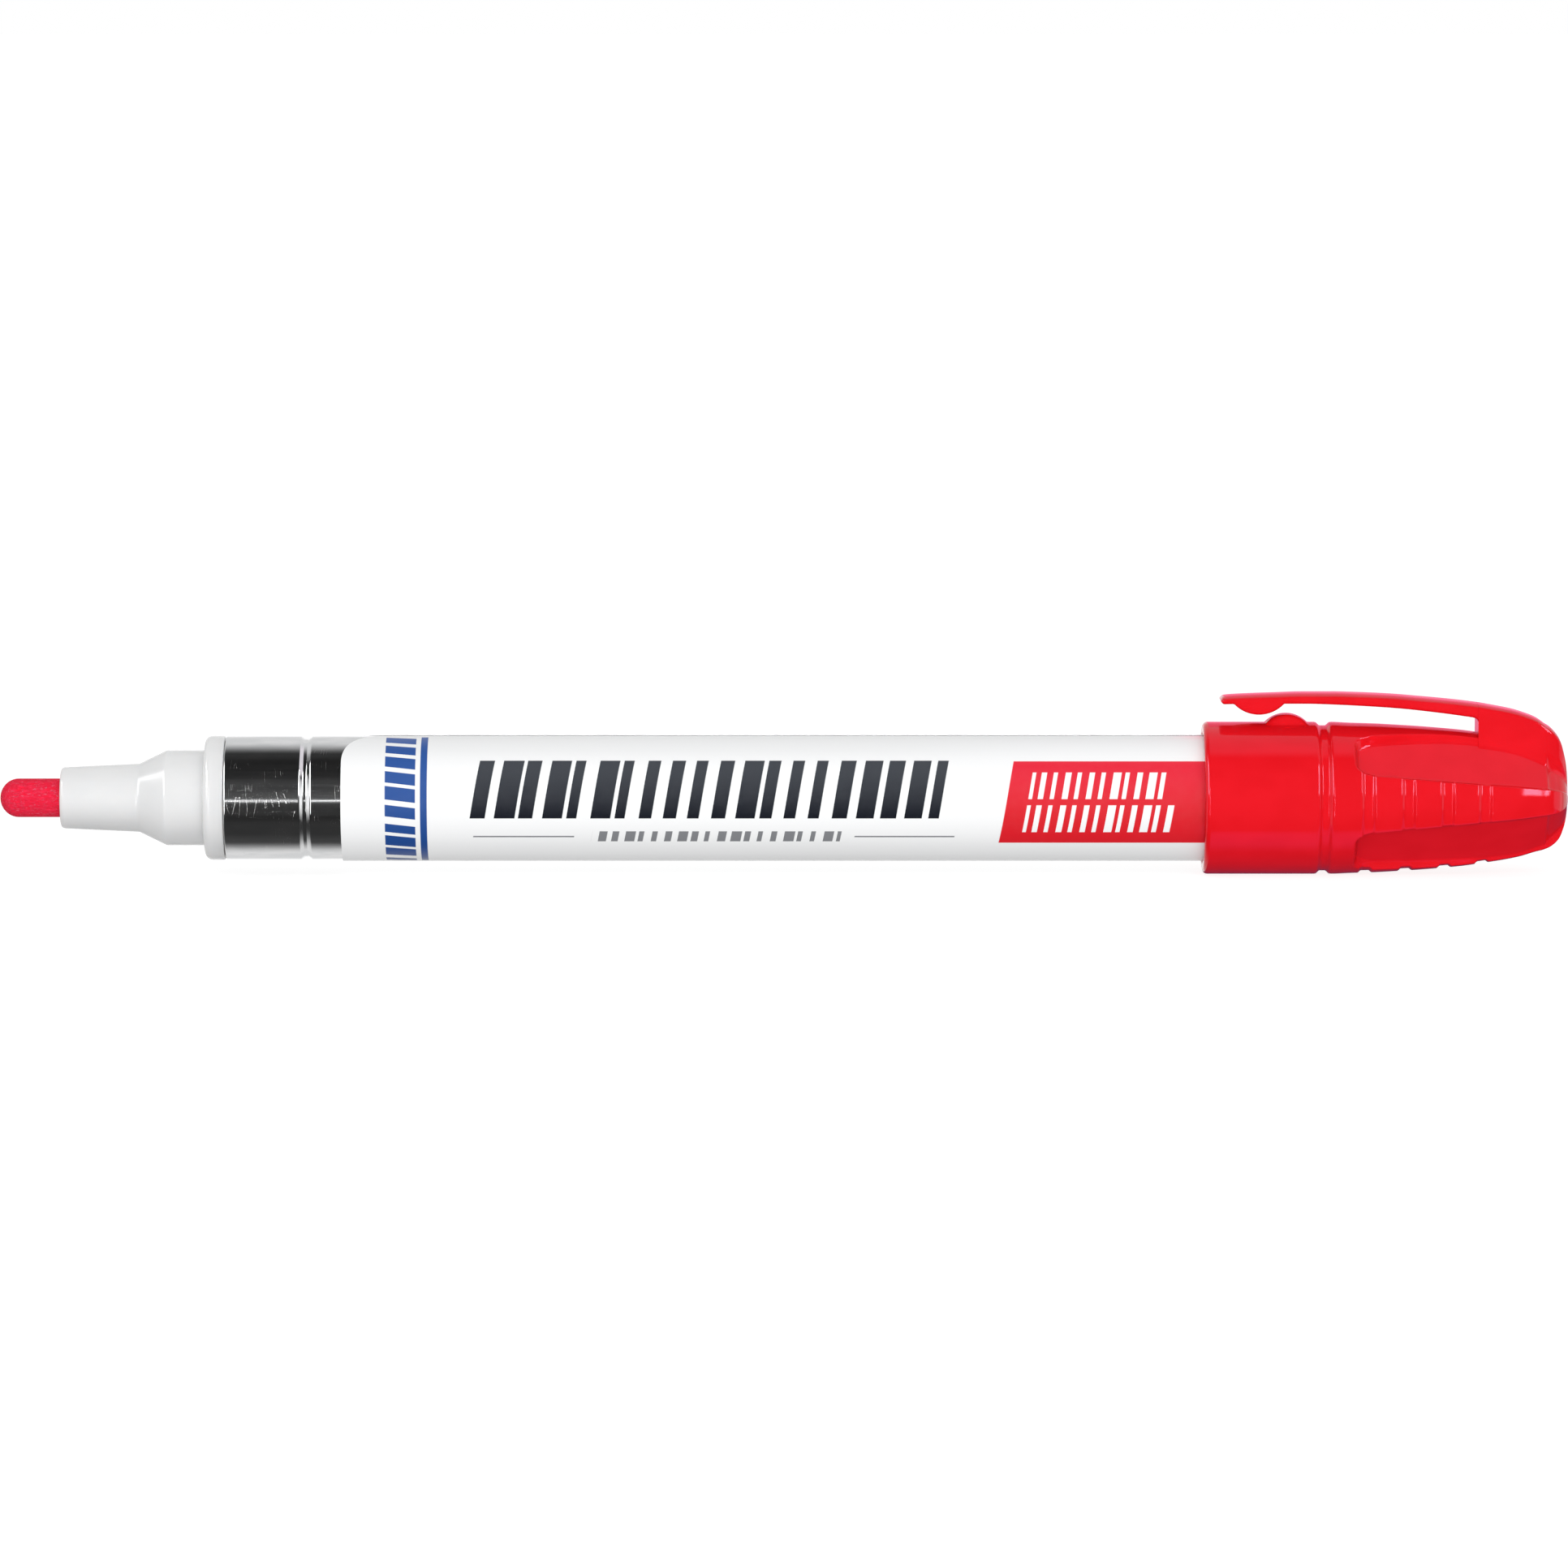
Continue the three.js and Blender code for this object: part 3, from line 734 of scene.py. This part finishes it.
def rows_for_cap():
    """x of the cap's rows: spans of (start, end, rows), closer where the surface turns."""
    spans = [(124.0, 129.4, 14), (129.4, 134.3, 44), (134.3, 134.9, 3), (134.9, 136.3, 18)]
    spans += [(136.3, 138.3, 8), (138.3, 139.4, 12), (139.4, CLIP_ROOT - 0.05, 86)]
    spans += [(CLIP_ROOT - 0.01, CLIP_ROOT + 0.01, 1), (CLIP_ROOT + 0.01, 152.8, 12)]
    spans += [(152.8, DOME_START, 30)]
    return np.concatenate([np.linspace(a, b, n, endpoint=False) for a, b, n in spans] + [[DOME_START]])


def cap_inside():
    """The cap's bore, from its closed end out to the rim and round it to the skirt."""
    return supported([np.array(p) for p in (
        (159.6, 0), (159.6, 2.4), (159.2, 2.9), (156, 4.1), (152.7, 4.7), (143, 5.6), (CAP_LEDGE, 5.75),
        (CAP_LEDGE, CAP_BORE), (CAP_RIM + 0.2, CAP_BORE), (CAP_RIM, CAP_BORE + 0.2), (CAP_RIM, CAP_R - 0.5),
        (CAP_RIM + 0.04, CAP_R - 0.31), (CAP_RIM + 0.15, CAP_R - 0.15), (CAP_RIM + 0.31, CAP_R - 0.04),
        (CAP_RIM + 0.5, CAP_R),
    )])


def build_cap_shell():
    """One closed grid: the inside, then the outside, then the dome. The other half is its mirror image."""
    xs = rows_for_cap()
    angles, radii, mask = cap_outside(xs)
    columns = angles.shape[1]
    rows = []
    for x, r in cap_inside():
        rows.append((x, np.full(columns, r), column_angles(x) if x < DOME_START else angles[-1]))
    rows += zip(xs, radii, angles)
    for deep in np.concatenate([np.linspace(0.08, 1.6, 12), np.linspace(1.7, DOME_DEPTH, 9)]):
        share = mix(DOME_SHARE(deep), DOME_SHARE_SCOOP(deep), mask[-1])
        rows.append((DOME_START + deep, radii[-1] * share, angles[-1]))
    row_x, half_r, half_a = (np.array(values) for values in zip(*rows))
    full_r = np.concatenate([half_r, half_r[:, -2:0:-1]], axis=1)
    full_a = np.concatenate([half_a, 2 * math.pi - half_a[:, -2:0:-1]], axis=1)
    points = around(row_x[:, None], full_r, full_a)
    faces = grid_faces(*full_r.shape)
    slot = "red_plastic"
    piece("cap_moulding", "cap", ["cap_shell"], MATERIALS[slot], points, faces, sharp=60)


def clip_section(x, inset=0.0):
    """The clip's outline across one plane, as (y, z) points."""
    high, half = CLIP_HIGH(x), CLIP_HALF(x)
    low = CLIP_LOW(x) - arc_height(x, *CLIP_BUMP)
    corners = [(half, high, CLIP_EDGE), (-half, high, CLIP_EDGE)]
    corners += [(-half, low, CLIP_LOWER_EDGE), (half, low, CLIP_LOWER_EDGE)]
    outline = []
    for quarter, (y, z, (wide, tall)) in enumerate(corners):
        centre_y = y - math.copysign(wide, y)
        centre_z = z - tall if quarter < 2 else z + tall
        for a in np.linspace(0, math.pi / 2, 11) + quarter * math.pi / 2:
            outline.append((centre_y + wide * math.cos(a), centre_z + tall * math.sin(a)))
    outline = np.array(outline)
    middle = np.array([0, (high + low) / 2])
    room = np.array([half, (high - low) / 2])
    return middle + (outline - middle) * (1 - inset / room)


def build_clip():
    """Sections from the rounded tip to the root, closer together over the bump and at the root."""
    lip = 0.4
    bump_end = 132
    root_start = CLIP_ROOT - 0.6
    stations, insets = [], []
    for a in np.linspace(0, math.pi / 2, 7):
        stations.append(CLIP_TIP + lip * (1 - math.cos(a)))
        insets.append(lip * (1 - math.sin(a)))
    spans = [(CLIP_TIP + lip, bump_end, 48), (bump_end, root_start, 60), (root_start, CLIP_ROOT, 7)]
    for start, end, count in spans:
        stations += list(np.linspace(start, end, count)[1:])
    insets += [0.0] * (len(stations) - len(insets))
    sections = [clip_section(x, inset) for x, inset in zip(stations, insets)]
    columns = len(sections[0])
    tip_centre = np.tile(sections[0].mean(axis=0), (columns, 1))
    root_centre = np.tile(sections[-1].mean(axis=0), (columns, 1))
    sections = [tip_centre] + sections + [root_centre]
    stations = [stations[0]] + stations + [stations[-1]]
    rings = [np.column_stack([np.full(columns, x), yz]) for x, yz in zip(stations, sections)]
    points = np.concatenate(rings)
    faces = grid_faces(len(sections), columns)
    slot = "red_plastic"
    clip = piece("cap_clip_arm", None, ["cap_clip"], MATERIALS[slot], points, faces, sharp=60)
    start, end = place([(CLIP_ROOT, 0, 9), (CLIP_ROOT - 7, 0, 9.7)])
    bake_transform(clip)


def build_liner():
    """The inner cap: a cup pressed into the bore, stepped to close round the nozzle's cone and tip."""
    profile = rounded([
        (137.7, 4.97), (137.7, 5.6, 0.1), (143, 5.45), (152.7, 4.55, 0.3), (156, 3.95), (159.1, 2.8, 0.3),
        (159.45, 2.3, 0.2), (159.45, 0), (158.9, 0), (158.9, 1.9, 0.3), (158.3, 2.4, 0.3),
        (153.6, 2.4, 0.4), (152.9, 3.6, 0.3), (145, 3.75, 0.5), (141.7, 4.97, 0.5),
    ])
    turned("cap_liner", "cap", "white_plastic", profile)


# ---- pieces inside the barrel ---------------------------------------------------------------------------


def build_spring():
    """The valve spring, wound round the axis up to its retainer, drawn at rest."""
    wire = 0.225
    coil = 1.9
    turns = 7
    first, last = 30.68, 42.57
    steps, sides = turns * 32, 12
    angles = np.linspace(0, 2 * math.pi * turns, steps + 1)
    axis_x = np.linspace(first + wire, last - wire, steps + 1)
    around_wire = np.linspace(0, 2 * math.pi, sides, endpoint=False)[None, :]
    xs = axis_x[:, None] + wire * np.sin(around_wire)
    points = around(xs, coil + wire * np.cos(around_wire), angles[:, None])
    faces = grid_faces(steps + 1, sides)
    faces += [tuple(range(sides)), tuple(steps * sides + i for i in range(sides))]
    slot = "spring_steel"
    spring = piece("valve_spring_wound", "barrel", ["valve_spring"], MATERIALS[slot], points, faces)
    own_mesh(spring)


def build_seal_ring():
    """The O-ring in the spigot's front groove."""
    middle_x, middle_r, thick = 26.3, 5.45, 0.41
    turn = np.linspace(0, 2 * math.pi, 20)[:-1]
    section = [(middle_x + thick * math.cos(a), middle_r + thick * math.sin(a)) for a in turn]
    turned("nozzle_o_ring", "barrel", "seal_rubber", section)


def build_feeder():
    """The felt sleeve round the rear of the nib."""
    outer, inner = FEEDER_BORE - 0.1, NIB_R + 0.1
    turned("nib_feeder", "barrel", "pale_felt", rounded([
        (16.2, inner), (16.2, outer, 0.2), (24, outer, 0.2), (24, inner),
    ]))


def build_valve():
    """The washer that is the valve's seat, and the stem that rests on it."""
    turned("seat_washer", "barrel", "seal_rubber", rounded([
        (28.65, 1.55, 0.05), (28.65, 3.2, 0.1), (29.15, 3.2, 0.1), (29.15, 1.55, 0.05),
    ]))
    turned("valve_stem", "valve", "white_plastic", rounded([
        (25.05, 0), (25.05, 1, 0.2), (29.2, 1, 0.1), (29.2, 2.6, 0.3), (30.6, 2.6, 0.3), (30.6, 1.2, 0.1),
        (36, 1.2, 0.4), (36, 0),
    ]), closed=False)


def build_ball():
    """The mixing ball, which lies on the bottom of the tube."""
    low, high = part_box("mixing_ball")
    mesh = bpy.data.meshes.new("mixing_ball_ground")
    ball = bmesh.new()
    bmesh.ops.create_uvsphere(ball, u_segments=64, v_segments=32, radius=(high.x - low.x) / 2)
    bmesh.ops.translate(ball, verts=ball.verts, vec=((low.x + high.x) / 2, 0, (low.z + high.z) / 2))
    ball.to_mesh(mesh)
    ball.free()
    mesh.shade_smooth()
    mesh.materials.append(MATERIALS["ball_steel"])
    thing = bpy.data.objects.new("mixing_ball_ground", mesh)
    bpy.context.scene.collection.objects.link(thing)
    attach(thing, "ball")
    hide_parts("mixing_ball")


def finish_carried_over():
    """The CAD's own meshes that stay: smooth shading and their materials."""
    for name in ("valve_housing", "spring_retainer"):
        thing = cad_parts[name]
        thing.data.materials.clear()
        thing.data.materials.append(MATERIALS["white_plastic"])
        thing.data.shade_smooth()
        thing.data.set_sharp_from_angle(angle=math.radians(35))


build_nib()
build_nozzle()
build_barrel()
build_label()
build_cap_shell()
build_clip()
build_liner()
build_seal_ring()
build_feeder()
build_valve()
build_spring()
build_ball()
finish_carried_over()

# ---- camera, floor and light ----------------------------------------------------------------------------

ELEVATION = math.radians(5.7)
TO_CAMERA = Vector((0, -math.cos(ELEVATION), math.sin(ELEVATION)))
DISTANCE = 0.9
WIDTH_SEEN = 0.16087  # metres across the picture at the marker
AIM = Vector((0.0, 0.0, TIP.z + 1.42 * MM))
BOX_GLOW = 15.0


def build_camera():
    """A long lens a little above the marker, which fills the picture from side to side."""
    data = bpy.data.cameras.new("camera")
    data.sensor_width = 36
    data.lens = data.sensor_width * DISTANCE / WIDTH_SEEN
    camera = bpy.data.objects.new("camera", data)
    camera.location = AIM + TO_CAMERA * DISTANCE
    camera.rotation_euler = TO_CAMERA.to_track_quat("Z", "Y").to_euler()
    bpy.context.scene.collection.objects.link(camera)
    bpy.context.scene.camera = camera


def build_floor():
    """A pale table. It only catches a faint shadow: the marker is lit by the world on every side."""
    mesh = bpy.data.meshes.new("table")
    half = 6.0
    corners = [(-half, -half, 0), (half, -half, 0), (half, half, 0), (-half, half, 0)]
    mesh.from_pydata(corners, [], [(0, 1, 2, 3)])
    s = Shader("table_white", Roughness=0.9, Specular_IOR_Level=0.0)
    s.bsdf.inputs["Emission Color"].default_value = (1, 1, 1, 1)
    s.bsdf.inputs["Emission Strength"].default_value = 0.88
    mottle = s.noise(s.stretched(0.02, 0.02, 0.02))
    s.feed(Base_Color=s.colour(mottle, (0.23, 0.23, 0.23, 1), (0.25, 0.25, 0.25, 1)))
    mesh.materials.append(s.material)
    floor = bpy.data.objects.new("table", mesh)
    bpy.context.scene.collection.objects.link(floor)
    floor.visible_glossy = False
    floor.visible_diffuse = False


def build_card(name, corner, across, up, colour, stops):
    """A card seen only in the marker's gloss. Stops are (share of the way up, glow) pairs."""
    mesh = bpy.data.meshes.new(name)
    corner, across, up = Vector(corner), Vector(across), Vector(up)
    mesh.from_pydata([corner, corner + across, corner + across + up, corner + up], [], [(0, 1, 2, 3)])
    s = Shader(name, Roughness=1.0, Specular_IOR_Level=0.0)
    climb = s.dot(s.position(), tuple(up / up.length_squared))
    base = corner.dot(up) / up.length_squared
    glow = stops[0][1]
    for (start, before), (end, after) in zip(stops, stops[1:]):
        glow = s.math("ADD", glow, s.ramp(climb, base + start, base + end, 0.0, after - before))
    mottle = s.noise(s.stretched(0.1, 0.1, 0.1))
    dark = s.colour(mottle, (0.01, 0.01, 0.01, 1), (0.015, 0.015, 0.015, 1))
    s.feed(Base_Color=dark, Emission_Color=colour, Emission_Strength=glow)
    mesh.materials.append(s.material)
    card = bpy.data.objects.new(name, mesh)
    bpy.context.scene.collection.objects.link(card)
    card.visible_camera = False
    card.visible_diffuse = False
    card.visible_shadow = False
    card.visible_transmission = False


def build_cards():
    """Round the cap only: a dim card below it, which keeps its underside deep red, a warm card behind it
    for its edges, and a soft box above."""
    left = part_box("cap_shell")[0].x
    magenta, rose, near_white = (1.0, 0.42, 0.95, 1), (1.0, 0.26, 0.42, 1), (1.0, 0.95, 1.0, 1)
    below = [(0.032, 0.0), (0.043, 0.85), (0.052, 0.85), (0.064, 0.13)]
    build_card("card_below", (left, -0.02, 0.0001), (0.06, 0, 0), (0, 0.22, 0), magenta, below)
    behind = [(0.0, 0.9), (0.4, 1.35)]
    build_card("card_behind", (left, 0.045, 0.002), (0.05, 0, 0), (0, 0, 0.05), rose, behind)
    above = [(0.02, 0.0), (0.20, 0.8)]
    build_card("card_above", (left - 0.02, -0.06, 0.13), (0.4, 0, 0), (0, 0.19, 0), near_white, above)


def mirrored_room(s, direction, facing, upward):
    """What the gloss sees: a bright back wall, a dark front with a few pale bands, tall boxes at both
    sides, a low box on the left, a faint lower wall and bright end walls."""
    sideways = s.math("ABSOLUTE", s.dot(direction, (1, 0, 0)))
    leftward = s.dot(direction, (-1, 0, 0))
    tall_box = all_of(
        s,
        s.ramp(sideways, 0.50, 0.56), s.ramp(sideways, 0.75, 0.70),
        s.ramp(upward, 0.12, 0.2), s.ramp(upward, 0.8, 0.7),
        s.ramp(facing, 0.0, 0.15),
    )
    low_box = all_of(
        s,
        s.ramp(leftward, 0.25, 0.28), s.ramp(leftward, 0.34, 0.31),
        s.ramp(s.math("ABSOLUTE", upward), 0.42, 0.34),
        s.ramp(facing, 0.4, 0.6),
    )
    parts = [s.ramp(facing, low, high, 0.0, level) for low, high, level in (
        (-0.88, -0.97, 0.30), (0.78, 0.88, 0.024), (0.96, 1.0, 0.030), (0.35, 0.05, 0.020),
    )]
    parts.append(s.math("MULTIPLY", s.math("ADD", tall_box, low_box), BOX_GLOW))
    parts.append(s.ramp(upward, -0.35, -0.75, 0.0, 0.025))
    parts.append(s.ramp(sideways, 0.85, 0.95, 0.0, 1.3))
    room = s.ramp(facing, -0.60, 0.0, 0.72, 0.010)
    for part in parts:
        room = s.math("ADD", room, part)
    return room


def build_world():
    """White for the camera, the mirrored room for gloss, and soft light from all round for the rest."""
    world = bpy.data.worlds.new("studio")
    bpy.context.scene.world = world
    world.use_nodes = True
    s = Nodes(world.node_tree)
    direction = s.node("ShaderNodeTexCoord", output=0)
    facing = s.dot(direction, tuple(TO_CAMERA))
    upward = s.dot(direction, (0, 0, 1))
    overhead = s.math("MULTIPLY_ADD", upward, 0.15, 0.50)
    soft = s.math("ADD", overhead, s.ramp(facing, 0.30, 1.0, 0.0, 1.35))
    is_glossy = s.node("ShaderNodeLightPath", output=3)
    is_camera = s.node("ShaderNodeLightPath", output=0)
    strength = s.colour(is_glossy, soft, mirrored_room(s, direction, facing, upward))
    strength = s.colour(is_camera, strength, (1.0, 1.0, 1.0, 1.0))
    s.put(world.node_tree.nodes["Background"].inputs["Color"], strength)


def build_strip_light():
    """A small bright strip beside the lens, which draws the thin highlights."""
    data = bpy.data.lights.new("strip", "AREA")
    data.shape = "RECTANGLE"
    data.size, data.size_y = 0.036, 0.005
    data.energy = 0.014
    light = bpy.data.objects.new("strip", data)
    aside = Vector((-0.108, -0.88, 0.0))
    light.location = AIM + aside
    light.rotation_euler = aside.to_track_quat("Z", "Y").to_euler()
    bpy.context.scene.collection.objects.link(light)


def build_view():
    """Colours are shown as they are, without a film look."""
    settings = bpy.context.scene.view_settings
    settings.view_transform = "Standard"
    settings.look = "None"
    settings.exposure = 0.0
    settings.gamma = 1.0


build_camera()
build_floor()
build_cards()
build_world()
build_strip_light()
build_view()
